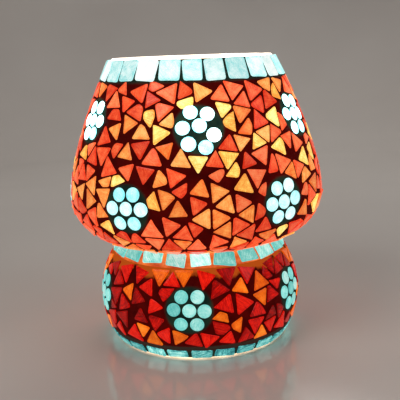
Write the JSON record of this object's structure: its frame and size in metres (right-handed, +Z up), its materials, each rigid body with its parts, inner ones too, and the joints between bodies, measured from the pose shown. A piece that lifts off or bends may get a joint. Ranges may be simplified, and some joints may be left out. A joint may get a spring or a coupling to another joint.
{
  "type": "mosaic glass table lamp",
  "caption": "Small table lamp of two blown glass bowls covered in red, orange and turquoise glass mosaic set in dark grout, with a lift-off shade.",
  "frame": {"origin": "centre of the foot, on the surface that the lamp stands on", "axes": "+Z up along the axis of both glasses; -Y towards the viewer, away from the cord hole; +X to the viewer's right"},
  "size_m": [0.18, 0.1813, 0.199],
  "materials": {
    "clear_glass": "blown, fire-polished",
    "grout": "matt cement with dark pigment",
    "red_glass": "flat cathedral glass, slightly seedy",
    "orange_glass": "flat cathedral glass, slightly seedy",
    "amber_glass": "flat cathedral glass, slightly seedy",
    "turquoise_glass": "flat opalescent glass",
    "rubber": "moulded, satin",
    "steel": "zinc plated",
    "brass": "drawn",
    "white_plastic": "moulded",
    "phenolic": "moulded",
    "porcelain": "glazed",
    "nickel": "nickel plated",
    "bulb_glass": "thin blown",
    "black_glass": "black vitrite glass",
    "filament": "drawn tungsten"
  },
  "bodies": {
    "base": {"base_glass": "clear_glass", "base_grout": "grout", "base_red_chips": "red_glass", "base_orange_chips": "orange_glass", "base_flower_discs": "turquoise_glass", "waist_chips_turquoise": "turquoise_glass", "foot_chips_turquoise": "turquoise_glass", "cord_grommet": "rubber", "lower_neck_gasket": "rubber", "upper_neck_gasket": "rubber", "neck_ring": "steel", "holder_spider": "steel", "spider_rivets": "steel", "nipple": "brass", "nipple_washer": "steel", "nipple_nut": "brass", "nipple_bush": "white_plastic", "holder_cap": "phenolic", "holder_sleeve": "phenolic", "contact_block": "porcelain", "thread_shell": "brass", "centre_contact": "brass", "terminal_screws": "nickel"},
    "shade": {"shade_glass": "clear_glass", "shade_grout": "grout", "shade_red_chips": "red_glass", "shade_orange_chips": "orange_glass", "shade_amber_chips": "amber_glass", "shade_flower_discs": "turquoise_glass", "shade_rim_chips": "turquoise_glass"},
    "bulb": {"bulb_globe": "bulb_glass", "bulb_screw_cap": "nickel", "bulb_insulator": "black_glass", "bulb_tip_contact": "nickel", "bulb_stem": "bulb_glass", "bulb_lead_wires": "nickel", "bulb_filament": "filament"}
  },
  "joints": [
    {"name": "shade_lift", "type": "slide", "parent": "base", "child": "shade", "axis": [0, 0, 1], "range_m": [0, 0.14]},
    {"name": "bulb_turn", "type": "hinge", "parent": "base", "child": "bulb", "pos_m": [0, 0, 0.09], "axis": [0, 0, 1], "range_deg": [0, 1800]}
  ]
}
